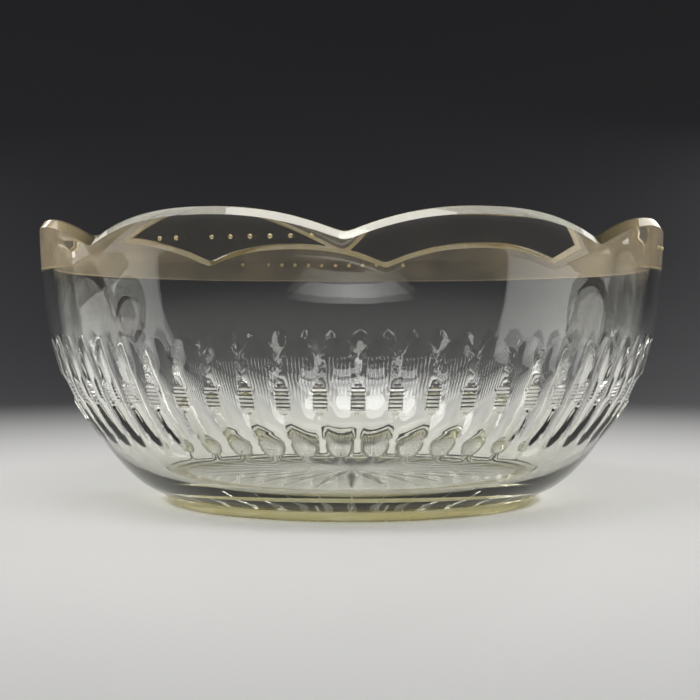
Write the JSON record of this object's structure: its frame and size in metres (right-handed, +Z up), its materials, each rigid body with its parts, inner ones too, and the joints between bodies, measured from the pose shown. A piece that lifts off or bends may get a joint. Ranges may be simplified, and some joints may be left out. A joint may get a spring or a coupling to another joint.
{
  "type": "glass bowl",
  "caption": "Round clear glass bowl with a scalloped rim, a band of vertical hollow flutes, a star-cut base and worn gilt dots; it rests on a low foot ring.",
  "frame": {"origin": "centre of the plane that the bowl stands on, under the middle of the foot ring", "axes": "+Z up along the bowl's axis; -Y towards the side seen in the picture; +X to the right of that view"},
  "size_m": [0.2095, 0.2097, 0.093],
  "materials": {
    "clear_glass": "clear polished glass with a faint straw tint; flutes, notches and star are ground and polished",
    "foot_glass": "the same glass, whose straw tint shows in its thick edge",
    "gilding": "worn fired gilding"
  },
  "bodies": {
    "root": {"bowl_body": "clear_glass", "foot_ring": "foot_glass", "gilt_dot_01": "gilding", "gilt_dot_02": "gilding", "gilt_dot_03": "gilding", "gilt_dot_04": "gilding", "gilt_dot_05": "gilding", "gilt_dot_06": "gilding", "gilt_dot_07": "gilding", "gilt_dot_08": "gilding", "gilt_dot_09": "gilding", "gilt_dot_10": "gilding", "gilt_dot_11": "gilding", "gilt_dot_12": "gilding", "gilt_dot_13": "gilding", "gilt_dot_14": "gilding", "gilt_dot_15": "gilding", "gilt_dot_16": "gilding", "gilt_dot_17": "gilding", "gilt_dot_18": "gilding", "gilt_dot_19": "gilding", "gilt_dot_20": "gilding", "gilt_dot_21": "gilding", "gilt_dot_22": "gilding"}
  },
  "joints": []
}
